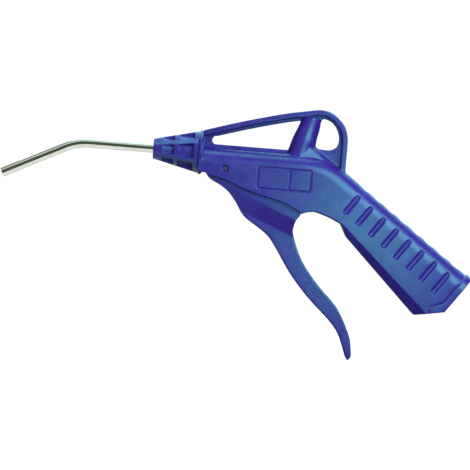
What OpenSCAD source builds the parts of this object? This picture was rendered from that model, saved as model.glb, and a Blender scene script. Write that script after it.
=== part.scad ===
// Air blow gun with a bent metal nozzle tube, a ribbed clamp nut and a squeeze lever.
// Millimetres, +Z up, the nozzle points to -X and Y = 0 is the mirror plane.
// The origin is the centre of the air inlet's mouth, in the end of the grip.

/* [Nozzle tube] */
// Outside diameter of the metal tube
tube_d = 5; // [4.6:0.1:5.4]
// Wall of the metal tube
tube_wall = 0.75; // [0.5:0.05:1]
// Length from the nut's nose to the bend
tube_straight = 37.4; // [25:0.1:90]
// Angle of the bend
tube_bend = 26.5; // [10:0.5:45]
// Radius of the bend on the tube's centre line
tube_bend_r = 30; // [20:1:40]
// Length from the bend to the tip sleeve
tube_end = 26.8; // [15:0.1:60]
// Length of the tip sleeve
tip_len = 12.9; // [8:0.1:20]
// Outside diameter of the tip sleeve
tip_d = 5.3; // [5.2:0.1:6]
// Diameter of the jet hole in the tip
jet_d = 2; // [1:0.1:2.5]

/* [Clamp nut] */
// Length of the nut
nut_len = 26.2; // [25:0.1:30]
// Diameter of the nut at the body
nut_rear_d = 24.2; // [22:0.1:26]
// Diameter of the nut at the nose
nut_nose_d = 11.6; // [10:0.1:14]
// Width of each rib along the nut
rib_w = 2.8; // [2:0.1:4]
// Number of slabs that cross on the axis, two ribs each
rib_slabs = 3; // [2:1:4]
// Width of the ring at the body
nut_ring_w = 2.6; // [1.5:0.1:4]
// Width of the ring between the two rows of pockets
nut_mid_w = 2.7; // [1.5:0.1:4]
// Length of the rear row of pockets
pocket_len = 8.8; // [7:0.1:10]
// Length of the front row of pockets
front_pocket_len = 6.6; // [4:0.1:7]

/* [Body] */
// Width of the body across its flat sides
body_w = 24; // [23:0.5:28]
// Diameter of the flange behind the nut
flange_d = 25.4; // [24:0.1:28]
// Thickness of the flange
flange_t = 2.1; // [1.5:0.1:2.2]
// Height of the barrel's back above the bore axis
barrel_top = 3.2; // [3:0.1:5]
// Length of the straight barrel
barrel_len = 60.3; // [60:0.1:62]
// Radius of the rounded shoulders of barrel and grip
shoulder_r = 10; // [6:0.5:11]
// Radius of the turn from the barrel's back into the grip's back
back_turn_r = 43; // [41:0.5:46]
// Angle of the grip below the barrel
grip_angle = 36; // [34:0.5:38]
// Length of the grip's straight back
grip_len = 95.5; // [92:0.5:105]
// Distance from the inlet axis to the grip's back
grip_back = 12.75; // [12:0.05:14]
// Depth of the grip from front to back at its lower end
grip_low_depth = 37; // [34:0.5:40]
// Depth of the grip from front to back at its upper end
grip_high_depth = 28; // [26:0.5:30]
// Width of the bevel along the grip's front at its lower end
grip_bevel_low = 5.5; // [3:0.1:6]
// Width of the bevel along the grip's front at its upper end
grip_bevel_high = 3.1; // [2:0.1:4]
// Thickness of the side walls beside the lever
side_wall = 1.8; // [1.6:0.1:2.2]

/* [Strap and hanging eye] */
// Reach of the strap behind the flange
strap_reach = 85.4; // [84:0.2:87]
// Height of the strap above the bore axis
strap_top = 29.8; // [28:0.2:33]
// Thickness of the strap's wide outer band
strap_band = 2.9; // [2:0.1:3.5]
// Width of the strap's outer band
strap_w = 11.6; // [11:0.1:14]
// Height of the whole strap, band and web, over the long window
strap_h = 4.9; // [4.5:0.1:6]
// Thickness of the web between the bands
web_t = 4; // [3:0.1:5]

/* [Grip details] */
// Number of finger grooves on each side
groove_count = 8; // [5:1:8]
// Distance between grooves
groove_pitch = 9.72; // [8:0.02:10]
// Width of a groove
groove_w = 3.2; // [2.5:0.1:4.5]
// Depth of a groove
groove_depth = 1.4; // [0.8:0.1:1.5]
// Length of the raised frame on the side
frame_len = 31.6; // [24:0.2:33]
// Height of the raised frame on the side
frame_h = 13.2; // [9:0.2:13.4]
// Width of the frame's engraved line
frame_line = 0.9; // [0.5:0.1:1.2]
// Depth of the frame's engraved line
frame_depth = 0.7; // [0.3:0.05:0.8]

/* [Lever] */
// Reach of the lever from its pivot to its tip
lever_reach = 81.1; // [79:0.1:83]
// Drop of the lever from its pivot to its tip
lever_drop = 104.7; // [101:0.1:108]
// Width of the lever's blade
blade_w = 13; // [11:0.5:16]
// Diameter of the pivot pin
pin_d = 3; // [2.5:0.1:3.2]
// Running clearance around the pivot pin
pin_gap = 0.06; // [0.04:0.01:0.1]
// Clearance between the lever and the body's side walls
lever_side_gap = 0.4; // [0.3:0.05:0.6]

/* [Valve] */
// Lean of the valve column behind the vertical
valve_lean = 14.7; // [14:0.1:16]
// Distance from the flange to the valve axis on the bore axis
valve_x = 57.4; // [57:0.1:58]
// Diameter of the valve bore
valve_bore_d = 12; // [11.6:0.1:12.4]
// Diameter of the spring chamber above the valve bore
chamber_d = 9.4; // [9:0.1:9.6]
// Diameter of the valve stem
stem_d = 4; // [3.6:0.1:4.2]
// Number of working turns of the valve spring
spring_turns = 6; // [4:1:8]
// Diameter of the spring wire
wire_d = 0.8; // [0.6:0.05:1]

/* [Air inlet] */
// Diameter inside the thread of the inlet
thread_bore_d = 11.44; // [11:0.01:12]
// Length of the threaded hole
thread_len = 12; // [9:0.5:14]
// Outside diameter of the brass insert
insert_d = 17; // [16:0.1:18]
// Length of the brass insert
insert_len = 16; // [15:0.5:20]

/* [Hidden] */

$fn = 64;
// Overrun of every cut past the face that it opens
cut = 1;
// Steps of a smooth outline between two of its points
smooth_steps = 3;
blue = [0.16, 0.24, 0.66];
bright_metal = [0.78, 0.79, 0.80];
brass = [0.80, 0.64, 0.32];
black_rubber = [0.08, 0.08, 0.09];

// Radial clearance of a piece that turns or slides in another
run_gap = 0.1;
// Gap between two faces that lie one against the other
face_gap = 0.05;

tube_r = tube_d / 2;
tube_bore_r = tube_r - tube_wall;
body_half = body_w / 2;

// Clamp joint, distances forward of the flange's front face
nut_gap = 0.3;
spigot_len = 11;
spigot_d = 13.8;
spigot_r = spigot_d / 2;
passage_d = 4.4;
passage_r = passage_d / 2;
socket_depth = 6;
socket_r = 5.2;
socket_floor = spigot_len - socket_depth;
tube_ring_wire = 2.4;
tube_ring_r = tube_r + (socket_r - tube_r) / 2;
collar_len = 3.6;
collar_start = socket_floor + tube_ring_wire + 2 * face_gap;
tube_start = socket_floor + face_gap;
washer_t = 0.7;
washer_start = collar_start + collar_len + face_gap;
nut_bore_r = spigot_r + run_gap;
nut_shoulder = washer_start + washer_t + face_gap;
nut_wall = 1.4;
front_core_low_d = 10.8;
front_core_high_d = 13.4;
front_pocket = nut_gap + nut_ring_w + pocket_len + nut_mid_w;
nose_start = front_pocket + front_pocket_len;
tip_plug_len = 6;
// Turned groove where the tip sleeve meets the tube
tip_groove_w = 0.5;
tip_groove_depth = 0.4;

// Turn between barrel and grip, and the inlet mouth, seen from the flange
turn_end = [barrel_len + back_turn_r * sin(grip_angle),
    barrel_top - back_turn_r * (1 - cos(grip_angle))];
mouth = turn_end + grip_len * [cos(grip_angle), -sin(grip_angle)]
    - grip_back * [sin(grip_angle), cos(grip_angle)];

// Lower edge of the side walls, as shares of the lever opening's length and drop
opening_len = 62.2;
opening_drop = 31.1;
underside_share = [[0.957, -0.952], [0.892, -0.881], [0.799, -0.804], [0.617, -0.717],
    [0.457, -0.627], [0.251, -0.470], [0.110, -0.406], [0.071, -0.361], [0.037, -0.361]];
// Arch behind the lever, from the grip forward, as shares of its own span and the drop
arch_share = [[0.722, -0.029], [0.409, 0.048], [0.257, 0.058], [0.109, 0.036]];

// Grip outline in the grip's own axes: distance before the end face, distance off the axis
end_half = 11.8;
end_chamfer = 12;
heel_len = 71;
heel_step_len = 7.3;
heel_step_h = 3.6;
lip_w = 3.7;
lip_out = 1;
lip_run = 6;
lip_t = 2.4;
lip_line_w = 0.9;
lip_line_depth = 0.8;
groove_first = 12.7;
groove_low = 6.4;
groove_rise = 0.23;
frame_front = 34.5;
frame_top = 5.6;
frame_divider_share = 0.585;
frame_corner_r = 1.8;

// Lever pocket inside the body, seen from the flange
pivot = [16, -8.4];
pin_recess = 1.4;
pin_seat_r = 1.95;
eye_r = 3.9;
roof_z = -4.1;
roof_front = 9.5;
roof_break = 20;
pocket_front = 4.2;
pocket_lip_z = -9.6;
pocket_rear = 65;
roof_fall = 8.7;
pocket_w = body_w - 2 * side_wall;
lever_w = pocket_w - 2 * lever_side_gap;
lever_wall = 1.7;

// Valve places, measured up the valve axis from the bore axis
boss_low = -18;
valve_shoulder = 3.2;
chamber_top = 20;
chamber_r = chamber_d / 2;
valve_bore_r = valve_bore_d / 2;
boss_wall = 1.6;
// Valve column: radius against the height on the valve axis
column_low = -2;
column_top = 26;
column_line = [[0, column_low], [7.5, column_low], [7, 12], [5.9, 20], [5.6, column_top],
    [0, column_top]];
// Housing of the air duct behind the column: a roof whose eaves fall like the grip's back
gusset_w = 11.6;
gusset_foot_w = 16;
gusset_foot = 9;
gusset_eave = [60.6, 9.7];
gusset_fall = 35.6;
gusset_rise = 2.2;
gusset_rear = 83;
gusset_low = -6;
duct_entry = 8;
duct_r = 1.9;
duct_wall = 1.7;
duct_boss_len = 34;
fit_gap = 0.05;
sleeve_r = valve_bore_r - fit_gap;
gasket_t = 0.8;
sleeve_top = valve_shoulder - gasket_t;
lip_h = 1.2;
seat_h = sleeve_top + lip_h;
seat_lip_r = chamber_r - 0.3 * gasket_t;
flow_r = 3.1;
flow_low = -3;
port_r = 1.5;
port_groove_depth = 0.9;
ring_wire = 1.8;
outer_ring_wire = 1.8;
outer_ring_s = -5.2;
gland_top = -7;
gland_r = stem_d / 2 + ring_wire + 2 * run_gap;
ring_t = 1.2;
ring_low = boss_low + run_gap;
sleeve_low = ring_low + ring_t + run_gap;
guide_low = sleeve_low + run_gap;
stem_r = stem_d / 2;
neck_r = 1.4;
neck_low = -3.5;
seal_t = 1.2;
seal_low = seat_h + face_gap;
poppet_low = seal_low + seal_t;
poppet_t = 1.6;
poppet_r = 4;
poppet_high = poppet_low + poppet_t;
retainer_t = 0.7;
retainer_r = 2.5;
neck_high = poppet_high + retainer_t + 0.6 * retainer_t;
button_r = 3.2;
button_low = -26.3;
button_h = 3.9;
button_socket = 1;
button_dome_r = 5;
stem_low = button_low + button_h - button_socket;
pad_gap = 0.1;
spring_seat_t = 0.8;
spring_low = poppet_high + face_gap;
spring_high = chamber_top - spring_seat_t - 3 * face_gap;
spring_r = 3.35;

// Inlet places, measured into the grip from its end face
inlet_floor_r = 4;
inlet_ring_wire = 1.3;
inlet_depth = insert_len + inlet_ring_wire + 2 * face_gap;

// Smooth line through points, by a spline that passes every one of them
function spline(a, b, c, d, t) = (2 * b + (c - a) * t + (2 * a - 5 * b + 4 * c - d) * t * t
    + (3 * b - a - 3 * c + d) * t * t * t) / 2;
function curve(p) = [for (i = [0:len(p) - 2]) for (k = [0:smooth_steps - 1])
    spline(p[max(i - 1, 0)], p[i], p[i + 1], p[min(i + 2, len(p) - 1)], k / smooth_steps),
    p[len(p) - 1]];
function ring_curve(p) = [for (i = [0:len(p) - 1]) for (k = [0:smooth_steps - 1])
    spline(p[(i + len(p) - 1) % len(p)], p[i], p[(i + 1) % len(p)], p[(i + 2) % len(p)],
        k / smooth_steps)];
// A line moved sideways, to the right of its own direction
function inset(p, d) = [for (i = [0:len(p) - 1])
    let (v = p[min(i + 1, len(p) - 1)] - p[max(i - 1, 0)]) p[i] + d * [v.y, -v.x] / norm(v)];
function backwards(p) = [for (i = [len(p) - 1:-1:0]) p[i]];
function scaled(shares, w, h) = [for (q = shares) [q.x * w, q.y * h]];
// A point in the grip's axes, seen from the flange
function in_grip(a, h) = mouth + a * [cos(grip_angle), -sin(grip_angle)]
    + h * [sin(grip_angle), cos(grip_angle)];
// A point on the valve axis, seen from the flange
function on_valve(s) = [valve_x + s * sin(valve_lean), s * cos(valve_lean)];

// Frames: from the flange, forward along the bore, up the valve axis and out of the grip
module from_flange() translate([-mouth.x, 0, -mouth.y]) children();
module forward() from_flange() rotate([0, -90, 0]) children();
module up_valve(s) from_flange() translate([valve_x, 0, 0]) rotate([0, valve_lean, 0])
    translate([0, 0, s]) children();
module out_of_grip(a) rotate([0, grip_angle, 0]) translate([a, 0, 0]) rotate([0, 90, 0]) children();
module side_plate(w) rotate([90, 0, 0]) linear_extrude(w, center = true) children();
module disc(low, high, r) translate([0, 0, low]) cylinder(h = high - low, r = r);
module washer(low, high, outer_r, inner_r) difference() {
    disc(low, high, outer_r);
    disc(low - cut, high + cut, inner_r);
}
module o_ring(r, wire) rotate_extrude() translate([r, 0]) circle(d = wire, $fn = 24);
// A round bar between two points in the mirror plane
module bar(from, to, r) translate([from.x, 0, from.y])
    rotate([0, atan2(to.x - from.x, to.y - from.y), 0]) cylinder(h = norm(to - from), r = r);

// Body: section with two rounded upper corners, its top on the X axis
module section(w, depth, r) {
    translate([-w / 2, -depth]) square([w, depth - r]);
    translate([-w / 2 + r, -depth]) square([w - 2 * r, depth]);
    for (side = [-1, 1]) translate([side * (w / 2 - r), -r]) circle(r);
}

sweep_depth = back_turn_r - cut;
// The turn lies this far inside the straights, which begin this far inside the turn
turn_draw = 0.01;
turn_overlap = 0.3;

// Outer form of barrel, turn and grip before its outline is cut
module body_sweep(grow) {
    r = shoulder_r + grow;
    w = body_w + 2 * grow;
    translate([0, 0, barrel_top + grow]) rotate([90, 0, 90])
        linear_extrude(barrel_len + turn_overlap) section(w, sweep_depth, r);
    translate([barrel_len, 0, barrel_top - back_turn_r]) rotate([0, -90, -90])
        rotate_extrude(angle = grip_angle) translate([back_turn_r + grow - turn_draw, 0]) rotate(-90)
            section(w - 2 * turn_draw, sweep_depth, r - turn_draw);
    translate([turn_end.x, 0, turn_end.y]) rotate([0, grip_angle, 0])
        translate([-turn_overlap, 0, grow]) rotate([90, 0, 90])
            linear_extrude(grip_len + turn_overlap) section(w, sweep_depth, r);
}

arch_rear = in_grip(-heel_len - heel_step_len, grip_back - grip_high_depth + heel_step_h);

module body_outline() polygon(concat(
    [[0, strap_top], [mouth.x, strap_top], in_grip(0, grip_back * 2), in_grip(0, -end_half),
        in_grip(-end_chamfer, grip_back - grip_low_depth),
        in_grip(-heel_len, grip_back - grip_high_depth)],
    curve(concat([arch_rear], [for (q = arch_share)
        [opening_len + q.x * (arch_rear.x - opening_len), (q.y - 1) * opening_drop]])),
    [[opening_len, -opening_drop]],
    curve(scaled(underside_share, opening_len, opening_drop)),
    [[0, -body_half]]));

strap_share = [[0.022, 0.426], [0.181, 0.570], [0.382, 0.738], [0.582, 0.883], [0.703, 0.950],
    [0.782, 0.993], [0.826, 0.993], [0.865, 0.970], [0.907, 0.906], [0.952, 0.789],
    [0.982, 0.664], [0.999, 0.466], [1, 0.232], [0.999, -0.003], [1.002, -0.260]];
eye_share = [[0.817, 0.822], [0.804, 0.601], [0.788, 0.369], [0.800, 0.252], [0.890, 0.242],
    [0.931, 0.326], [0.941, 0.453], [0.934, 0.570], [0.911, 0.705], [0.869, 0.805]];
strap_line = curve(scaled(strap_share, strap_reach, strap_top));
window_r = 2.45;
window_rear = 60.6;
window_front = 9.6;
window_low = 5.3;

module long_window() {
    roof = [for (q = inset(strap_line, strap_h)) if (q.x < window_rear) q];
    translate([window_front, window_low + window_r]) circle(window_r);
    intersection() {
        polygon(concat(roof, [[window_rear, window_low], [0, window_low]]));
        translate([window_front, window_low]) square([window_rear - window_front, strap_top]);
    }
}

module web() side_plate(web_t) difference() {
    polygon(concat(strap_line, [[barrel_len, 0], [0, 0]]));
    long_window();
    polygon(ring_curve(scaled(eye_share, strap_reach, strap_top)));
}

module strap() side_plate(strap_w)
    polygon(concat(strap_line, backwards(inset(strap_line, strap_band))));

// Proud lip around the grip's end and under its chamfer
module end_lip() intersection() {
    body_sweep(lip_out);
    side_plate(body_w + 2 * lip_out) {
        polygon([in_grip(-lip_w, grip_back + lip_out), in_grip(0, grip_back),
            in_grip(0, -end_half), in_grip(-lip_w, -end_half + lip_w)]);
        polygon([in_grip(0, -end_half), in_grip(-lip_run, -end_half - lip_run),
            in_grip(-lip_run - lip_t, -end_half - lip_run + lip_t),
            in_grip(-lip_w, -end_half + lip_w)]);
    }
}

// Round-bottomed finger grooves on both sides, and the shallow hollows between them on the back
groove_r = (groove_w * groove_w / 4 + groove_depth * groove_depth) / (2 * groove_depth);
hollow_depth = 0.6;
hollow_r = 12;

module groove_cuts() {
    for (i = [0:groove_count - 1], side = [-1, 1]) {
        low = in_grip(-groove_first - i * groove_pitch, i * groove_rise - groove_low);
        translate([low.x, side * (body_half + groove_r - groove_depth), low.y]) {
            sphere(groove_r, $fn = 24);
            rotate([0, grip_angle, 0]) cylinder(h = 2 * grip_back, r = groove_r, $fn = 24);
        }
    }
    side_plate(body_w + 2 * cut) for (i = [0:groove_count - 1])
        translate(in_grip(-groove_first - i * groove_pitch, grip_back + hollow_r - hollow_depth))
            circle(hollow_r);
    // Line between the grip's side and its end lip
    difference() {
        side_plate(body_w + 2 * lip_out + 2 * cut) lip_line();
        side_plate(body_w - 2 * lip_line_depth) lip_line();
    }
}

module lip_line() polygon([in_grip(-lip_w, grip_back), in_grip(-lip_w, -end_half + lip_w),
    in_grip(-lip_run - lip_t, -end_half - lip_run + lip_t),
    in_grip(-lip_run - lip_t - lip_line_w, -end_half - lip_run + lip_t),
    in_grip(-lip_w - lip_line_w, -end_half + lip_w), in_grip(-lip_w - lip_line_w, grip_back)]);

// Bevel along one long edge of the grip's front, run on past both of its ends
bevel_low = [-end_chamfer, grip_back - grip_low_depth + grip_bevel_low];
bevel_high = [-heel_len, grip_back - grip_high_depth + grip_bevel_high];
bevel_over_low = 8;
bevel_over_high = 6;
bevel_slope = 0.8;
bevel_reach = 10;

module front_edge_cut() {
    fall = bevel_high.y - bevel_low.y;
    back = bevel_low.x - bevel_high.x;
    for (side = [0, 1]) mirror([0, side, 0]) rotate([0, grip_angle, 0])
        translate([bevel_high.x, body_half, bevel_high.y]) rotate([0, atan2(fall, back), 0])
            translate([-bevel_over_high, 0, 0]) rotate([90, 0, 90])
                linear_extrude(norm([fall, back]) + bevel_over_low + bevel_over_high)
                    polygon([[0, 0], [cut, 0], [cut, -bevel_reach],
                        [-bevel_slope * bevel_reach, -bevel_reach]]);
}

module frame_shape(shrink) {
    r = frame_corner_r - shrink;
    for (x = [frame_corner_r, frame_len - frame_corner_r])
        for (z = [frame_corner_r, frame_h - frame_corner_r]) translate([x, z]) circle(r);
    translate([frame_corner_r, shrink]) square([frame_len - 2 * frame_corner_r, frame_h - 2 * shrink]);
    translate([shrink, frame_corner_r]) square([frame_len - 2 * shrink, frame_h - 2 * frame_corner_r]);
}

module frame_cut() for (side = [-1, 1])
    translate([frame_front, side * body_half, -frame_top - frame_h]) side_plate(2 * frame_depth) {
        difference() {
            frame_shape(0);
            frame_shape(frame_line);
        }
        translate([frame_len * frame_divider_share, frame_line])
            square([frame_line, frame_h - 2 * frame_line]);
    }

roof_end = [pocket_rear, roof_z - roof_fall];

module lever_pocket() difference() {
    side_plate(pocket_w) polygon([[pocket_front, -opening_drop * 2], [pocket_front, pocket_lip_z],
        [roof_front, roof_z], [roof_break, roof_z], roof_end, [pocket_rear, -opening_drop * 2]]);
    translate([valve_x, 0, 0]) rotate([0, valve_lean, 0])
        disc(boss_low, 0, valve_bore_r + boss_wall);
}

duct_from = on_valve(duct_entry);
duct_to = in_grip(-inlet_depth, 0);

module gusset() intersection() {
    side_plate(gusset_foot_w) polygon([on_valve(column_low), on_valve(column_top),
        [gusset_rear, column_top], [gusset_rear, gusset_low]]);
    translate([gusset_eave.x, 0, gusset_eave.y]) rotate([0, gusset_fall, 0]) rotate([90, 0, 90])
        linear_extrude(2 * gusset_rear, center = true) polygon([[-gusset_foot_w / 2, -gusset_rear],
            [-gusset_foot_w / 2, -gusset_foot], [-gusset_w / 2, 0], [-web_t / 2, gusset_rise],
            [web_t / 2, gusset_rise], [gusset_w / 2, 0], [gusset_foot_w / 2, -gusset_foot],
            [gusset_foot_w / 2, -gusset_rear]]);
}

module body_solid() {
    intersection() {
        body_sweep(0);
        side_plate(body_w) body_outline();
    }
    rotate([0, 90, 0]) disc(0, flange_t, flange_d / 2);
    rotate([0, -90, 0]) disc(0, spigot_len, spigot_r);
    web();
    strap();
    translate([valve_x, 0, 0]) rotate([0, valve_lean, 0]) rotate_extrude() polygon(column_line);
    gusset();
    bar(duct_from, duct_from + duct_boss_len * (duct_to - duct_from) / norm(duct_to - duct_from),
        duct_r + duct_wall);
    end_lip();
}

module body_shell() color(blue) difference() {
    from_flange() difference() {
        body_solid();
        lever_pocket();
        groove_cuts();
        frame_cut();
        translate([pivot.x, 0, pivot.y]) rotate([90, 0, 0]) {
            disc(-body_half - cut, body_half + cut, pin_d / 2);
            disc(body_half - pin_recess, body_half + cut, pin_seat_r);
            disc(-body_half - cut, -body_half + pin_recess, pin_seat_r);
        }
        bar([0, 0], [valve_x, 0], passage_r);
        bar([-spigot_len - cut, 0], [0, 0], passage_r);
        bar([-spigot_len - cut, 0], [-socket_floor, 0], socket_r);
        bar(duct_from, duct_to, duct_r);
    }
    up_valve(0) disc(boss_low - cut, valve_shoulder, valve_bore_r);
    up_valve(0) disc(0, chamber_top, chamber_r);
    out_of_grip(0) disc(-inlet_depth, cut, insert_d / 2);
    front_edge_cut();
}

// Lever: side outline as shares of its reach and drop from the pivot
lever_front_share = [[-0.141, -0.029], [-0.102, -0.062], [-0.027, -0.091], [0.036, -0.126],
    [0.092, -0.179], [0.160, -0.255], [0.266, -0.309], [0.340, -0.352], [0.403, -0.415], [0.513, -0.542],
    [0.651, -0.667], [0.819, -0.790], [0.887, -0.852], [0.927, -0.916], [0.958, -0.981],
    [0.980, -1], [1, -0.978]];
lever_rear_share = [[1, -0.978], [0.990, -0.912], [0.965, -0.847], [0.875, -0.719],
    [0.720, -0.596], [0.594, -0.470], [0.523, -0.341], [0.518, -0.294], [0.535, -0.250],
    [0.560, -0.228]];
lever_top_share = [[0.557, -0.187], [0.524, -0.106]];
// Lines across the lever where its side leaves the box and where it reaches the blade
facet_angle = 22;
facet_high = 8.8;
facet_low = 17.8;
pad_front = 23;

module lever_outline() {
    polygon(concat(curve(scaled(lever_front_share, lever_reach, lever_drop)),
        curve(scaled(lever_rear_share, lever_reach, lever_drop)),
        scaled(lever_top_share, lever_reach, lever_drop), [[0, eye_r], [-eye_r, 0]]));
    circle(eye_r);
}

// Half width of the lever against the distance below its pivot line
module lever_section() polygon([[-lever_w / 2, lever_drop], [-lever_w / 2, -facet_high],
    [-blade_w / 2, -facet_low], [-blade_w / 2, -2 * lever_drop], [blade_w / 2, -2 * lever_drop],
    [blade_w / 2, -facet_low], [lever_w / 2, -facet_high], [lever_w / 2, lever_drop]]);

module trigger_lever() color(blue) from_flange() difference() {
    translate([pivot.x, 0, pivot.y]) difference() {
        intersection() {
            side_plate(lever_w) lever_outline();
            rotate([0, facet_angle, 0]) translate([-lever_drop, 0, 0]) rotate([90, 0, 90])
                linear_extrude(3 * lever_drop) lever_section();
        }
        rotate([90, 0, 0]) disc(-body_half, body_half, pin_d / 2 + pin_gap);
    }
    // Channel between the lever's cheeks, its floor square to the valve axis
    intersection() {
        translate([valve_x, 0, 0]) rotate([0, valve_lean, 0])
            translate([-lever_reach, lever_wall - lever_w / 2, button_low - pad_gap])
                cube([2 * lever_reach, lever_w - 2 * lever_wall, lever_drop]);
        translate([pad_front, -body_half, -lever_drop]) cube([lever_reach, body_w, 2 * lever_drop]);
    }
}

module trigger_pin() color(bright_metal) from_flange() translate([pivot.x, 0, pivot.y])
    rotate([90, 0, 0]) disc(pin_recess - body_half, body_half - pin_recess, pin_d / 2);

// Nut: a cone seen only on its rings and ribs, over a round core
module nozzle_nut() color(blue) forward() difference() {
    union() {
        intersection() {
            translate([0, 0, nut_gap]) cylinder(h = nut_len, r1 = nut_rear_d / 2, r2 = nut_nose_d / 2);
            union() {
                disc(nut_gap, nut_gap + nut_ring_w, nut_rear_d);
                disc(front_pocket - nut_mid_w, front_pocket, nut_rear_d);
                disc(nose_start, nut_gap + nut_len, nut_rear_d);
                for (i = [0:rib_slabs - 1]) rotate(i * 180 / rib_slabs)
                    translate([-nut_rear_d, -rib_w / 2, nut_gap])
                        cube([2 * nut_rear_d, rib_w, nut_len]);
            }
        }
        disc(nut_gap, nut_shoulder + nut_wall, nut_bore_r + nut_wall);
        translate([0, 0, front_pocket - nut_mid_w])
            cylinder(h = nut_mid_w + front_pocket_len, d1 = front_core_low_d, d2 = front_core_high_d);
    }
    disc(0, nut_shoulder, nut_bore_r);
    disc(0, nut_gap + nut_len + cut, tube_r + run_gap);
}

bend_start = nut_gap + nut_len + tube_straight;
// Bending draws the tube in by this much, and the straights begin this far inside the bend
bend_draw = 0.01;
bend_overlap = 0.3;

// Frame at the end of the bend, along the last straight
module after_bend() translate([-tube_bend_r, 0, bend_start]) rotate([0, -tube_bend, 0])
    translate([tube_bend_r, 0, 0]) children();

module bent_bar(r, over) {
    disc(tube_start - over, bend_start + bend_overlap, r);
    translate([-tube_bend_r, 0, bend_start]) rotate([90, 0, 0])
        rotate_extrude(angle = tube_bend, $fn = 96) translate([tube_bend_r, 0])
            circle(r - bend_draw, $fn = 48);
    after_bend() disc(-bend_overlap, tube_end + over, r);
}

module nozzle_tube() color(bright_metal) forward() difference() {
    bent_bar(tube_r, 0);
    bent_bar(tube_bore_r, cut);
}

module nozzle_tip() color(bright_metal) forward() after_bend() difference() {
    union() {
        disc(tube_end + tip_groove_w, tube_end + tip_len, tip_d / 2);
        disc(tube_end, tube_end + tip_groove_w, tip_d / 2 - tip_groove_depth);
        disc(tube_end - tip_plug_len, tube_end, tube_bore_r);
    }
    disc(tube_end - tip_plug_len - cut, tube_end + tip_len + cut, jet_d / 2);
}

module tube_collar() color(bright_metal) forward()
    washer(collar_start, collar_start + collar_len, socket_r - run_gap, tube_r);

module thrust_washer() color(bright_metal) forward()
    washer(washer_start, washer_start + washer_t, spigot_r - run_gap, tube_r + run_gap);

module tube_o_ring() color(black_rubber) forward()
    translate([0, 0, socket_floor + tube_ring_wire / 2 + face_gap]) o_ring(tube_ring_r, tube_ring_wire);

// Valve sleeve: seat lip on top, cross ports on the bore axis, gland below
module valve_sleeve() color(brass) up_valve(0) difference() {
    union() {
        disc(sleeve_low, sleeve_top, sleeve_r);
        disc(sleeve_top, seat_h, seat_lip_r);
    }
    disc(flow_low, seat_h + cut, flow_r);
    disc(sleeve_low - cut, flow_low + cut, stem_r + run_gap);
    disc(sleeve_low - cut, gland_top, gland_r);
    washer(-port_r, port_r, valve_bore_r + cut, sleeve_r - port_groove_depth);
    washer(outer_ring_s - outer_ring_wire / 2 - face_gap, outer_ring_s + outer_ring_wire / 2 + face_gap,
        valve_bore_r + cut, valve_bore_r - outer_ring_wire);
    rotate([0, 90, 0]) disc(-valve_bore_r, valve_bore_r, port_r - run_gap);
}

module seat_gasket() color(black_rubber) up_valve(0)
    washer(sleeve_top, valve_shoulder, sleeve_r, seat_lip_r);

module sleeve_o_ring() color(black_rubber) up_valve(outer_ring_s)
    o_ring(valve_bore_r - outer_ring_wire / 2, outer_ring_wire - 2 * face_gap);

module valve_stem() color(bright_metal) up_valve(0) {
    disc(stem_low, neck_low, stem_r);
    disc(neck_low, neck_high, neck_r);
}

module stem_button() color(black_rubber) up_valve(0) difference() {
    intersection() {
        disc(button_low, button_low + button_h, button_r);
        translate([0, 0, button_low + button_dome_r]) union() {
            sphere(button_dome_r);
            disc(0, button_dome_r, button_r);
        }
    }
    disc(stem_low, button_low + button_h + cut, stem_r);
}

module stem_o_ring() color(black_rubber) up_valve(gland_top - ring_wire / 2 - face_gap)
    o_ring(stem_r + face_gap + ring_wire / 2, ring_wire);

module stem_guide() color(brass) up_valve(0)
    washer(guide_low, gland_top - ring_wire - 2 * face_gap, gland_r, stem_r + run_gap);

module retaining_ring() color(brass) up_valve(0)
    washer(ring_low, ring_low + ring_t, sleeve_r, button_r + 3 * run_gap);

module valve_poppet() color(brass) up_valve(0)
    washer(poppet_low, poppet_high, poppet_r, neck_r);

module poppet_seal() color(black_rubber) up_valve(0)
    washer(seal_low, poppet_low, poppet_r - run_gap, neck_r);

module poppet_retainer() color(bright_metal) up_valve(0)
    washer(poppet_high, poppet_high + retainer_t, retainer_r, neck_r);

module spring_seat() color(bright_metal) up_valve(0)
    washer(chamber_top - spring_seat_t - face_gap, chamber_top - face_gap,
        chamber_r - run_gap, neck_r);

// Valve spring: one unbroken wire, with a closed turn at each end
wire_sides = 6;
turn_rings = 8;
dead_turns = 1;
all_turns = spring_turns + 2 * dead_turns;
spring_rings = all_turns * turn_rings;
wire_r = wire_d / 2;
dead_rise = wire_d + face_gap;
live_rise = spring_high - spring_low - wire_d - 2 * dead_turns * dead_rise;
function spring_rise(turn) = min(turn, dead_turns) * dead_rise
    + max(min(turn - dead_turns, spring_turns), 0) * live_rise / spring_turns
    + max(turn - dead_turns - spring_turns, 0) * dead_rise;
spring_points = [for (i = [0:spring_rings]) let (turn = i / turn_rings)
    for (j = [0:wire_sides - 1]) let (a = 360 * j / wire_sides, r = spring_r + wire_r * cos(a))
        [r * cos(360 * turn), r * sin(360 * turn), spring_rise(turn) + wire_r * sin(a)]];
spring_faces = concat(
    [for (j = [1:wire_sides - 2]) [0, j, j + 1]],
    [for (j = [1:wire_sides - 2]) spring_rings * wire_sides * [1, 1, 1] + [0, j + 1, j]],
    [for (i = [0:spring_rings - 1]) for (j = [0:wire_sides - 1])
        let (n = (j + 1) % wire_sides, low = i * wire_sides, high = low + wire_sides)
            [low + j, high + j, high + n]],
    [for (i = [0:spring_rings - 1]) for (j = [0:wire_sides - 1])
        let (n = (j + 1) % wire_sides, low = i * wire_sides, high = low + wire_sides)
            [low + j, high + n, low + n]]);

module valve_spring() color(bright_metal) up_valve(spring_low + wire_r)
    polyhedron(spring_points, spring_faces);

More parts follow.
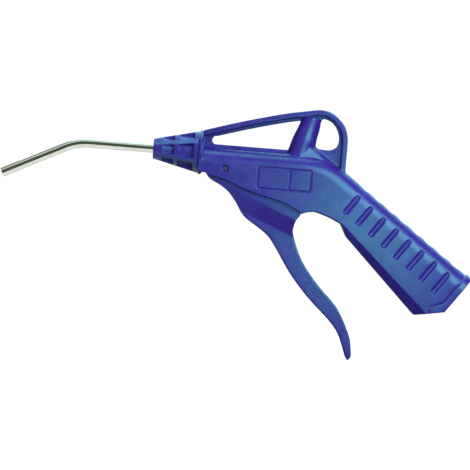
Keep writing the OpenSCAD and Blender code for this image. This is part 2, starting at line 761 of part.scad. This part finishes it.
module inlet_insert() color(brass) out_of_grip(0) difference() {
    disc(-insert_len, 0, insert_d / 2);
    disc(-thread_len, cut, thread_bore_d / 2);
    disc(-insert_len - cut, 0, inlet_floor_r);
}

module inlet_o_ring() color(black_rubber) out_of_grip(-inlet_depth + inlet_ring_wire / 2 + face_gap)
    o_ring(insert_d / 2 - inlet_ring_wire, inlet_ring_wire);

body_shell();
trigger_lever();
trigger_pin();
nozzle_nut();
nozzle_tube();
nozzle_tip();
tube_collar();
thrust_washer();
tube_o_ring();
valve_sleeve();
seat_gasket();
sleeve_o_ring();
valve_stem();
stem_button();
stem_o_ring();
stem_guide();
retaining_ring();
valve_poppet();
poppet_seal();
poppet_retainer();
valve_spring();
spring_seat();
inlet_insert();
inlet_o_ring();
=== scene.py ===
# %% [markdown]
# # An air blow gun, dressed on its CAD frame
#
# The real tool is a moulded blue plastic grip with a squeeze lever, a ribbed clamp nut and a bent,
# bright metal nozzle tube. Compressed air comes in through a threaded insert in the end of the
# grip, a spring valve in the leaning column holds it back, and the lever opens that valve.
#
# The CAD model already has every piece in its right place and size. Blender only gives it looks,
# so the first step loads the imported model as a frame that nothing here moves or changes. Its box
# is kept and printed.

# %% Load the frame
import math

import bpy
import bmesh
from mathutils import Matrix, Vector


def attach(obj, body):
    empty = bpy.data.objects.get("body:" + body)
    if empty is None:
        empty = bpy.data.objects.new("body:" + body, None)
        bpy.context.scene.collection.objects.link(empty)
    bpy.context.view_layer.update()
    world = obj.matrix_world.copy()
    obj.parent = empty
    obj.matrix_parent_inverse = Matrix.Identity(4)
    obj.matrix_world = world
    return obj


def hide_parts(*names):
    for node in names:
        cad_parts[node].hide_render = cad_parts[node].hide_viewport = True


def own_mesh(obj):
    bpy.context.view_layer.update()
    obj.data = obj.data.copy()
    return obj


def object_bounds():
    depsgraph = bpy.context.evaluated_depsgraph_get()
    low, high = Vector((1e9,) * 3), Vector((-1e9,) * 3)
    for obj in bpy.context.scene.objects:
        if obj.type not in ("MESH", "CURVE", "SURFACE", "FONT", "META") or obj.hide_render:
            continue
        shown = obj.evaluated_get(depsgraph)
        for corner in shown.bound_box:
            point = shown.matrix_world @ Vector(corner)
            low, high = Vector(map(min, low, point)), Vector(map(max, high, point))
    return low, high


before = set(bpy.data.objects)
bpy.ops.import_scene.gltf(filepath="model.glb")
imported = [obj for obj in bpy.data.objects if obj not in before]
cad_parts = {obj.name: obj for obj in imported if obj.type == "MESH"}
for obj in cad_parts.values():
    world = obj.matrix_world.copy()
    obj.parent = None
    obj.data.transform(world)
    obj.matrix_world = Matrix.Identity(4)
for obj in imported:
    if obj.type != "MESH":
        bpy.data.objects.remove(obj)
cad_low, cad_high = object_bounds()
mm = 0.001
print("CAD box in mm:", [round(size / mm, 1) for size in cad_high - cad_low])


def in_scene(name, data):
    """A new object with this data, put in the scene."""
    thing = bpy.data.objects.new(name, data)
    bpy.context.collection.objects.link(thing)
    return thing


def mesh_object(name, points, faces):
    """A new object whose mesh has these points and faces."""
    mesh = bpy.data.meshes.new(name)
    mesh.from_pydata(points, [], faces)
    return in_scene(name, mesh)


# %% [markdown]
# ## The camera
#
# The photograph looks square at the tool's side, from far away: the tube, the barrel and the grip
# show no perspective. The tool is also turned a few degrees in the picture, nozzle down. A long
# lens far away gives the flat view, and rolling the camera gives the turn. Rolling the tool would
# give it too, but the frame stays where the CAD puts it.

# %% Point the camera as the photograph does
roll = math.radians(4.6)
view_centre = Vector((-130.67 * mm, 0, 25.21 * mm))
view_width = 272.6 * mm
lens, sensor_width = 200, 36
camera_distance = view_width * lens / sensor_width

picture_right = Vector((math.cos(roll), 0, math.sin(roll)))
picture_up = Vector((-math.sin(roll), 0, math.cos(roll)))
towards_camera = Vector((0, -1, 0))
camera_turn = Matrix((picture_right, picture_up, towards_camera)).transposed().to_4x4()

camera = in_scene("photo_camera", bpy.data.cameras.new("photo_camera"))
camera.data.lens = lens
camera.data.sensor_width = sensor_width
camera.data.clip_end = 20
camera.matrix_world = (Matrix.Translation(view_centre + camera_distance * towards_camera)
                       @ camera_turn)
bpy.context.scene.camera = camera
print("camera stands", round(camera_distance, 3), "m away")

# %% [markdown]
# ## The studio
#
# The photograph has a white ground with no horizon, so a pale floor that melts into the sky
# carries the tool. Its light is soft and cool with a purple fill, and each lamp has one task:
#
# - overhead lights the tops and the floor
# - key, large and up to the right, draws the bands along the shoulders
# - sheen, small and near, gives the grip its greenish gloss
# - behind rims the back edges and lights the far side
# - nut_high catches the ribs of the nut, and is linked to the nut alone
# - fill, purple and from the left, keeps the shadows from going black

# %% Floor and lamps
def flat_sheet(name, corners):
    """One flat face with the given corners."""
    return mesh_object(name, corners, [range(len(corners))])


def softbox(name, place, aim, size, watts, tint):
    """A square area light at place, turned to aim."""
    data = bpy.data.lights.new(name, "AREA")
    data.shape = "SQUARE"
    data.size = size
    data.energy = watts
    data.color = tint
    box = in_scene(name, data)
    box.location = place
    box.rotation_euler = (Vector(aim) - Vector(place)).to_track_quat("-Z", "Y").to_euler()
    box.visible_camera = False
    return box


floor_gap = 0.02 * mm
floor_z = cad_low.z - floor_gap
floor_half = 3
floor = flat_sheet("floor", [(side * floor_half, end * floor_half, floor_z)
                             for side, end in ((-1, -1), (1, -1), (1, 1), (-1, 1))])
floor.visible_diffuse = False

shoulder = (-0.06, 0, 0.05)
grip_middle = (-0.045, 0, 0.035)
nut_middle = (-0.165, 0, 0.0715)
lamps = {name: softbox(name, *settings) for name, *settings in (
    # name, place, aim, size in metres, watts, tint
    ("overhead", (-0.2, 0.1, 1.1), view_centre, 0.7, 4.5, (0.62, 0.90, 1.0)),
    ("key", (0.25, -0.55, 0.37), shoulder, 0.52, 5.0, (0.86, 0.95, 1.0)),
    ("sheen", (-0.045, -0.19, 0.035), grip_middle, 0.08, 0.075, (0.40, 1.0, 0.68)),
    ("behind", (0.05, 0.75, 0.60), view_centre, 1.2, 8, (0.40, 0.95, 1.0)),
    ("nut_high", (-0.241, -0.085, 0.235), nut_middle, 0.08, 0.07, (0.45, 0.90, 1.0)),
    ("fill", (-0.8, -1.1, 0.1), view_centre, 0.7, 4.0, (1.0, 0.22, 1.0)),
)}
print("floor at", round(floor_z / mm, 2), "mm, lamps:", ", ".join(lamps))

# %% [markdown]
# ### Cards
#
# Bright metal shows its surroundings more than its lamps. So four cards stand round the tool that
# only reflections see. A tall dark one behind the camera puts the black stripe on the tube. The
# other three, a roof, a low one and a front one, make a small tent round the tube, and their
# colours give it its pale bands and its dim middle.

# %% Cards, seen only in reflections
def reflector(name, *corners):
    """A sheet with these corners that only reflections see."""
    sheet = flat_sheet(name, corners)
    for rays in ("visible_camera", "visible_diffuse", "visible_shadow"):
        setattr(sheet, rays, False)
    return sheet


def upright_card(name, y, left, right, bottom, top):
    """A card that stands across the view at y."""
    return reflector(name, (left, y, bottom), (right, y, bottom), (right, y, top), (left, y, top))


def level_card(name, height, back):
    """A level card along the tube, from the tent's front to back."""
    return reflector(name, (tent_left, tent_front, height), (tent_right, tent_front, height),
                     (tent_right, back, height), (tent_left, back, height))


dark_half_width, dark_half_height = 0.55, 1.6
dark_card = upright_card("dark_card", -1.9, -dark_half_width, dark_half_width,
                         -dark_half_height, dark_half_height)

tent_left, tent_right, tent_front = -0.45, -0.175, -0.224
tent_top, tent_floor = 0.295, floor_z + 1 * mm
roof_back, low_back = 0.06, 0.16
roof_card = level_card("roof_card", tent_top, roof_back)
low_card = level_card("low_card", tent_floor, low_back)
front_card = upright_card("front_card", tent_front, tent_left, tent_right, tent_floor, tent_top)

# %% [markdown]
# ## Finishes
#
# Each finish is a small tree of shader nodes. A helper starts one with the numbers that are the
# same all over the surface set straight on the shader, and the parts that vary (tone, roughness,
# fine relief) are added with noise in the object's own millimetres. Images could have been used
# instead, but noise needs no file and never shows a seam.

# %% Helpers for finishes
def new_finish(name, colour, roughness, metallic=0.0, coat=0.0):
    """A material whose one shader has these even values. Returns it, its tree and the shader."""
    finish = bpy.data.materials.new(name)
    finish.use_nodes = True
    shader = finish.node_tree.nodes["Principled BSDF"]
    shader.inputs["Base Color"].default_value = (*colour, 1)
    shader.inputs["Roughness"].default_value = roughness
    shader.inputs["Metallic"].default_value = metallic
    shader.inputs["Coat Weight"].default_value = coat
    shader.inputs["Coat Roughness"].default_value = 0.22
    finish.diffuse_color = (*colour, 1)
    return finish, finish.node_tree, shader


def noise(tree, size, detail=2, stretch=(1, 1, 1)):
    """Noise whose blotches are about size millimetres across, longer along a stretched axis."""
    place = tree.nodes.new("ShaderNodeTexCoord")
    scale = tree.nodes.new("ShaderNodeMapping")
    scale.inputs["Scale"].default_value = [1 / (size * mm * s) for s in stretch]
    blotches = tree.nodes.new("ShaderNodeTexNoise")
    blotches.inputs["Scale"].default_value = 1
    blotches.inputs["Detail"].default_value = detail
    tree.links.new(place.outputs["Object"], scale.inputs["Vector"])
    tree.links.new(scale.outputs["Vector"], blotches.inputs["Vector"])
    return blotches.outputs["Fac"]


def spread(tree, value, low, high, out_low=0.0, out_high=1.0):
    """Stretches a value from one range to another, clamped."""
    node = tree.nodes.new("ShaderNodeMapRange")
    for name, number in (("From Min", low), ("From Max", high),
                         ("To Min", out_low), ("To Max", out_high)):
        node.inputs[name].default_value = number
    tree.links.new(value, node.inputs["Value"])
    return node.outputs["Result"]


noise_range = 0.3, 0.7  # nearly all values that noise takes


def product(tree, first, second):
    """One value times the other."""
    node = tree.nodes.new("ShaderNodeMath")
    node.operation = "MULTIPLY"
    tree.links.new(first, node.inputs[0])
    tree.links.new(second, node.inputs[1])
    return node.outputs[0]


def blend_colours(tree, amount, first, second):
    """The first colour where amount is 0, the second where it is 1. Either may be a socket."""
    node = tree.nodes.new("ShaderNodeMix")
    node.data_type = "RGBA"
    tree.links.new(amount, node.inputs["Factor"])
    for socket, colour in ((node.inputs[6], first), (node.inputs[7], second)):
        if isinstance(colour, bpy.types.NodeSocket):
            tree.links.new(colour, socket)
        else:
            socket.default_value = (*colour, 1)
    return node.outputs[2]


def relief(tree, height, depth, share=1.0):
    """Presses a height into the shader's surface, depth millimetres deep."""
    node = tree.nodes.new("ShaderNodeBump")
    node.inputs["Distance"].default_value = depth * mm
    node.inputs["Strength"].default_value = share
    tree.links.new(height, node.inputs["Height"])
    tree.links.new(node.outputs["Normal"], tree.nodes["Principled BSDF"].inputs["Normal"])


# %% [markdown]
# ### Moulded blue plastic
#
# The body, lever and nut are moulded in one hard blue plastic with a satin skin. Seen close, its
# tone drifts a little, its gloss is uneven from the mould and from hands, and it has a fine grain.
# Where edges have rubbed, the blue is paler. Pointiness, which is high on outer edges, finds those
# places, and noise breaks them up. The greenish specular tint gives the gloss its cooler colour.

# %% Blue plastic
blue_plastic, tree, shader = new_finish("blue_plastic", (0.044, 0.013, 0.29), 0.34, coat=0.06)
shader.inputs["IOR"].default_value = 1.5
shader.inputs["Specular IOR Level"].default_value = 0.8
shader.inputs["Specular Tint"].default_value = (0.25, 1.0, 0.8, 1)
drift = spread(tree, noise(tree, 14, 4), *noise_range)
blues = blend_colours(tree, drift, (0.039, 0.010, 0.26), (0.050, 0.016, 0.32))
edge = tree.nodes.new("ShaderNodeNewGeometry").outputs["Pointiness"]
rubbed = product(tree, spread(tree, edge, 0.52, 0.62, 0, 0.5),
                 spread(tree, noise(tree, 3, 4), 0.42, 0.62))
tree.links.new(blend_colours(tree, rubbed, blues, (0.07, 0.09, 0.45)), shader.inputs["Base Color"])
tree.links.new(spread(tree, noise(tree, 6, 5), *noise_range, 0.27, 0.41),
               shader.inputs["Roughness"])
relief(tree, noise(tree, 1.1, 4), 0.1)
print("blue plastic:", len(tree.nodes), "nodes")

# %% [markdown]
# ### Metals and rubber
#
# The tube and its tip are bright nickel on brass: nearly a mirror, with faint drawing lines along
# it. The pin, stem, spring and washers are steel with fine turning rings; its colour is darkened
# as painted shade, for the pin in its shaded recess, and tinted blue. The insert and the valve
# parts are turned brass with the same rings and a slight tarnish. The seals are matt black rubber
# and the lever's button is hard black plastic.

# %% Bright tube metal
tube_metal, tree, shader = new_finish("tube_metal", (0.80, 0.80, 0.74), 0.1, metallic=1)
haze = spread(tree, noise(tree, 5, 3), *noise_range)
drawn = noise(tree, 0.25, 3, stretch=(60, 1, 1))
tree.links.new(blend_colours(tree, haze, (0.84, 0.85, 0.79), (0.72, 0.74, 0.67)),
               shader.inputs["Base Color"])
tree.links.new(spread(tree, drawn, *noise_range, 0.06, 0.13), shader.inputs["Roughness"])
relief(tree, drawn, 0.004, 0.4)

# %% Turned steel and brass
def turned(name, bright, dull, roughness):
    """A turned metal: fine rings and a drifting tone."""
    finish, tree, shader = new_finish(name, bright, roughness, metallic=1)
    tarnish = spread(tree, noise(tree, 4, 5), 0.35, 0.7)
    tree.links.new(blend_colours(tree, tarnish, bright, dull), shader.inputs["Base Color"])
    rings = noise(tree, 0.12, 2, stretch=(1, 12, 12))
    tree.links.new(spread(tree, rings, *noise_range, roughness - 0.07, roughness + 0.1),
                   shader.inputs["Roughness"])
    relief(tree, rings, 0.006, 0.4)
    return finish


# Steel's dark colour is painted shade for the pin in its recess; the blue is a tint on it.
steel = turned("steel", (0.13, 0.135, 0.33), (0.09, 0.095, 0.22), 0.34)
brass = turned("brass", (0.80, 0.58, 0.26), (0.62, 0.43, 0.18), 0.34)

# %% Rubber and black plastic
def dark_finish(name, black, grey, roughness, grain):
    """A dark, dusty finish with a grain of the given size in millimetres."""
    finish, tree, shader = new_finish(name, black, roughness)
    dust = spread(tree, noise(tree, 2.5, 4), 0.4, 0.75)
    tree.links.new(blend_colours(tree, dust, black, grey), shader.inputs["Base Color"])
    tree.links.new(spread(tree, dust, 0, 1, roughness - 0.06, roughness + 0.08),
                   shader.inputs["Roughness"])
    relief(tree, noise(tree, grain, 2), 0.02, 0.4)
    return finish


rubber = dark_finish("rubber", (0.012, 0.012, 0.013), (0.035, 0.035, 0.036), 0.62, 0.2)
black_plastic = dark_finish("black_plastic", (0.015, 0.015, 0.017), (0.04, 0.04, 0.045), 0.38, 0.3)

finishes = {"blue_plastic": blue_plastic, "tube_metal": tube_metal, "steel": steel,
            "brass": brass, "rubber": rubber, "black_plastic": black_plastic}
print("finishes:", ", ".join(finishes))

# %% [markdown]
# ### Floor, cards and sky
#
# The floor glows a little, and more with distance, so that it ends white like the sky. In
# reflections it is nearly black, or it would wash out the plastic's deep shadows. The sky is
# treated the same way: white only where the camera looks at it, and dim as a light and in
# reflections. The Light Path node tells these rays apart. The three cards of the tent glow evenly,
# so they need no lamp.

# %% Floor finish
paper, tree, shader = new_finish("paper", (0.88, 0.88, 0.88), 0.85)
glow_starts, glow_full, near_glow = 0.3, 0.8, 0.55
dim = 0.03
mirrored = tree.nodes.new("ShaderNodeLightPath").outputs["Is Glossy Ray"]
clouds = blend_colours(tree, noise(tree, 300, 3), (0.87, 0.87, 0.87), (0.90, 0.90, 0.90))
tree.links.new(blend_colours(tree, mirrored, clouds, (dim, dim, dim)), shader.inputs["Base Color"])
away = tree.nodes.new("ShaderNodeVectorMath")
away.operation = "LENGTH"
tree.links.new(tree.nodes.new("ShaderNodeNewGeometry").outputs["Position"], away.inputs[0])
glow = spread(tree, away.outputs["Value"], glow_starts, glow_full, near_glow, 1)
tree.links.new(product(tree, glow, spread(tree, mirrored, 0, 1, 1, dim)),
               shader.inputs["Emission Strength"])
shader.inputs["Emission Color"].default_value = (1, 1, 1, 1)
floor.data.materials.append(paper)

# %% Card finishes
card_black, tree, shader = new_finish("card_black", (0.004, 0.004, 0.004), 1.0)
dark_card.data.materials.append(card_black)
for card, colour in ((roof_card, (0.60, 0.66, 0.56)), (front_card, (0.045, 0.075, 0.05)),
                     (low_card, (0.88, 0.89, 0.84))):
    lit, tree, shader = new_finish(card.name, (0, 0, 0), 1.0)
    shader.inputs["Emission Color"].default_value = (*colour, 1)
    shader.inputs["Emission Strength"].default_value = 1
    card.data.materials.append(lit)

# %% Sky
sky = bpy.data.worlds.new("sky")
sky.use_nodes = True
bpy.context.scene.world = sky
sky_tree = sky.node_tree
sky_tree.nodes.remove(sky_tree.nodes["Background"])
ray_kinds = sky_tree.nodes.new("ShaderNodeLightPath").outputs


def even_sky(colour, strength):
    """A sky of one colour."""
    node = sky_tree.nodes.new("ShaderNodeBackground")
    node.inputs["Color"].default_value = (*colour, 1)
    node.inputs["Strength"].default_value = strength
    return node.outputs[0]


def by_ray(kind, others, these):
    """One sky for rays of this kind, another for all others."""
    node = sky_tree.nodes.new("ShaderNodeMixShader")
    for socket, source in zip(node.inputs, (ray_kinds[kind], others, these)):
        sky_tree.links.new(source, socket)
    return node.outputs[0]


lamp_sky = even_sky((0.95, 0.55, 1), 0.12)
mirror_sky = even_sky((0.95, 0.98, 1), 0.07)
white_sky = even_sky((1, 1, 1), 1.05)
unseen_sky = by_ray("Is Glossy Ray", lamp_sky, mirror_sky)
sky_tree.links.new(by_ray("Is Camera Ray", unseen_sky, white_sky),
                   sky_tree.nodes["World Output"].inputs["Surface"])
bpy.context.scene.view_settings.view_transform = "Standard"

# %% [markdown]
# ## Moulded pieces
#
# A moulded part has no knife edges: every edge is rounded by a few tenths of a millimetre, and its
# inner corners are filled. Bevelling hundreds of curved CAD edges one by one fails where they run
# into each other. A voxel remesh does it in one go: the CAD mesh is copied into a new object, cut
# into even small faces, smoothed, and thinned where it is flat. The CAD node itself isn't touched.
# The new piece replaces it.

# %% Helpers for new pieces
replaced = set()


def apply_modifiers(piece):
    """Puts the piece's mesh, as its modifiers show it, in place of its mesh."""
    seen = piece.evaluated_get(bpy.context.evaluated_depsgraph_get())
    mesh = bpy.data.meshes.new_from_object(seen)
    piece.modifiers.clear()
    piece.data = mesh


def shade_smooth(piece):
    """Shades all faces smooth."""
    piece.data.polygons.foreach_set("use_smooth", [True] * len(piece.data.polygons))


def moulded(name, node, grain, rounds, most_faces):
    """A smooth copy of a CAD node, remeshed at grain millimetres and smoothed rounds times."""
    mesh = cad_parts[node].data.copy()
    welded = bmesh.new()
    welded.from_mesh(mesh)
    bmesh.ops.remove_doubles(welded, verts=welded.verts, dist=0.002 * mm)
    welded.to_mesh(mesh)
    welded.free()
    mesh.materials.clear()
    piece = in_scene(name, mesh)
    even = piece.modifiers.new("even", "REMESH")
    even.mode = "VOXEL"
    even.voxel_size = grain * mm
    soften = piece.modifiers.new("soften", "SMOOTH")
    soften.factor = 0.5
    soften.iterations = rounds
    apply_modifiers(piece)
    quads = len(piece.data.polygons)
    if 2 * quads > most_faces:  # each quad counts as two faces when it is thinned
        thin = piece.modifiers.new("thin", "DECIMATE")
        thin.ratio = most_faces / (2 * quads)
        apply_modifiers(piece)
    shade_smooth(piece)
    print(name, "has", len(piece.data.polygons), "faces, from", quads, "quads")
    return piece


def closed_piece(name, points, faces):
    """A new piece with a closed mesh, its faces turned outwards and shaded smooth."""
    piece = mesh_object(name, points, faces)
    shell = bmesh.new()
    shell.from_mesh(piece.data)
    bmesh.ops.recalc_face_normals(shell, faces=shell.faces)
    shell.to_mesh(piece.data)
    shell.free()
    shade_smooth(piece)
    return piece


def dress(piece, slot_name, body, *nodes):
    """Gives a new piece its slot's finish, its body, and the CAD nodes that it stands for."""
    piece.data.materials.clear()
    piece.data.materials.append(finishes[slot_name])
    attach(piece, body)
    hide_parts(*nodes)
    replaced.update(nodes)


# %% [markdown]
# ### Body
#
# The body is one moulding: barrel, grip, strap with its hanging eye, and the valve column. Its
# engraved frame on the side stays bare.

# %% Body
grip_body = moulded("grip_body", "body_shell", grain=0.25, rounds=8, most_faces=195000)
dress(grip_body, "blue_plastic", "body", "body_shell")

# %% [markdown]
# ### Lever
#
# The lever is a channel with two cheeks that closes into a narrow blade. Its long edges are
# rounder than the body's, because a hand squeezes them, so it is smoothed for longer.

# %% Lever
squeeze_lever = moulded("squeeze_lever", "trigger_lever", grain=0.3, rounds=14, most_faces=120000)
dress(squeeze_lever, "blue_plastic", "trigger", "trigger_lever")

# %% [markdown]
# ### Clamp nut
#
# The nut is small and its ribs are narrow, so its grain is finer. The lamp nut_high lights the
# only piece in a collection of its own, so that the body beside the nut gets none of it.

# %% Nut
clamp_nut = moulded("clamp_nut", "nozzle_nut", grain=0.16, rounds=10, most_faces=120000)
dress(clamp_nut, "blue_plastic", "nut", "nozzle_nut")
nut_only = bpy.data.collections.new("nut_only")
nut_only.objects.link(clamp_nut)
lamps["nut_high"].light_linking.receiver_collection = nut_only

# %% [markdown]
# ### Inlet thread
#
# CAD gives the brass insert a plain bore as wide as the thread's crests. The real bore has a pipe
# thread, 1.337 mm from turn to turn, cut 0.86 mm into the wall. It is one sheet of quads wrapped
# round the bore: each row is a little further in, and each column is turned so that the groove
# climbs one pitch per turn. The lathe's profile round it closes the piece.

# %% Threaded insert
insert_r, insert_len, floor_hole_r = 8.5, 16, 4
rear_bevel, front_bevel = 0.2, 0.25
crest_r, root_r, thread_len, pitch = 5.72, 6.58, 12, 1.337
flat_share = 0.12  # of the thread's height, at the crests and again at the roots
run_out, mouth_bevel = 1.2, 0.9
columns, rows = 96, 108
grip_slope = math.radians(36)
inward = Vector((-math.cos(grip_slope), 0, math.sin(grip_slope)))
across = Vector((0, 1, 0))
third = inward.cross(across)


def thread_radius(depth, turn):
    """The bore's radius at a depth and a share of a turn: a blunt V that fades at both ends."""
    height = abs(2 * ((depth / pitch - turn) % 1) - 1)
    cut = min(max((height - flat_share) / (1 - 2 * flat_share), 0), 1)
    fade = min(max((thread_len - depth) / run_out, 0), 1)
    return crest_r + max((root_r - crest_r) * cut * fade, mouth_bevel - depth, 0)


def lathe_point(depth, radius, turn):
    """A point at this depth and radius, a share of a turn round the insert's axis."""
    angle = 2 * math.pi * turn
    outward = across * math.cos(angle) + third * math.sin(angle)
    return (inward * depth + outward * radius) * mm


outside = [(insert_len, floor_hole_r), (insert_len, insert_r - rear_bevel),
           (insert_len - rear_bevel, insert_r), (front_bevel, insert_r),
           (0, insert_r - front_bevel)]
depths = [thread_len * row / rows for row in range(rows + 1)]
profile_len = len(depths) + 1 + len(outside)
points, sides = [], []
for column in range(columns):
    turn = column / columns
    wall = [(depth, thread_radius(depth, turn)) for depth in depths]
    points += [lathe_point(depth, radius, turn)
               for depth, radius in wall + [(thread_len, floor_hole_r)] + outside]
    here, there = column * profile_len, (column + 1) % columns * profile_len
    for k in range(profile_len):
        after = (k + 1) % profile_len
        sides.append((here + k, there + k, there + after, here + after))
threaded_insert = closed_piece("threaded_insert", points, sides)
sharp = threaded_insert.modifiers.new("sharp", "EDGE_SPLIT")
sharp.split_angle = math.radians(40)
apply_modifiers(threaded_insert)
dress(threaded_insert, "brass", "body", "inlet_insert")
print("threaded insert:", len(threaded_insert.data.polygons), "faces, box in mm:",
      [round(size / mm, 2) for size in threaded_insert.dimensions],
      "CAD", [round(size / mm, 2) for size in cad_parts["inlet_insert"].dimensions])

# %% [markdown]
# ### Valve spring
#
# The spring stands in the leaning column, with closed turns at its ends. The wire is a ring of
# points, carried round the column's axis and up it.

# %% Spring
valve_up = Vector((0.253758, 0, 0.967268))
valve_foot = Vector((-97.9416, 0, 71.4608))
spring_low, spring_high, coil_r, wire_r, stem_travel = 6.5, 19.05, 3.35, 0.4, 5.4
end_turns, live_turns, end_rise = 1, 6, 0.82
turn_steps, wire_sides = 40, 12
coil_side = valve_up.cross(across)
live_rise = spring_high - spring_low - 2 * wire_r - 2 * end_turns * end_rise


def coil_rise(turn):
    """How far the wire's middle has climbed after this many turns."""
    climb = min(turn, end_turns) * end_rise
    climb += min(max(turn - end_turns, 0), live_turns) * live_rise / live_turns
    return climb + max(turn - end_turns - live_turns, 0) * end_rise


points, sides = [], []
steps = (live_turns + 2 * end_turns) * turn_steps
for step in range(steps + 1):
    turn = step / turn_steps
    angle = 2 * math.pi * turn
    outward = across * math.cos(angle) + coil_side * math.sin(angle)
    for k in range(wire_sides):
        angle = 2 * math.pi * k / wire_sides
        reach = coil_r + wire_r * math.cos(angle)
        rise = spring_low + wire_r + coil_rise(turn) + wire_r * math.sin(angle)
        points.append((valve_foot + outward * reach + valve_up * rise) * mm)
for step in range(steps):
    here, there = step * wire_sides, (step + 1) * wire_sides
    for k in range(wire_sides):
        after = (k + 1) % wire_sides
        sides.append((here + k, here + after, there + after, there + k))
last_ring = steps * wire_sides
sides += [range(wire_sides), range(last_ring, last_ring + wire_sides)]
wire_spring = closed_piece("wire_spring", points, sides)
dress(wire_spring, "steel", "body", "valve_spring")
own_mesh(wire_spring)
print("spring:", round(spring_high - spring_low, 2), "mm long,",
      live_turns + 2 * end_turns, "turns")

# %% [markdown]
# ## Turned and drawn pieces
#
# The tube, the tip, the pin and the parts of the valve have the right shape in CAD, exact and
# smooth. They only get a better finish, each by the material slot that the record gives it.

# %% Finishes for the CAD pieces that stay
for name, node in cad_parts.items():
    if name in replaced:
        continue
    slot_name = node.material_slots[0].material.name.split(".")[0]
    node.material_slots[0].material = finishes[slot_name]
    print(name, "->", slot_name)
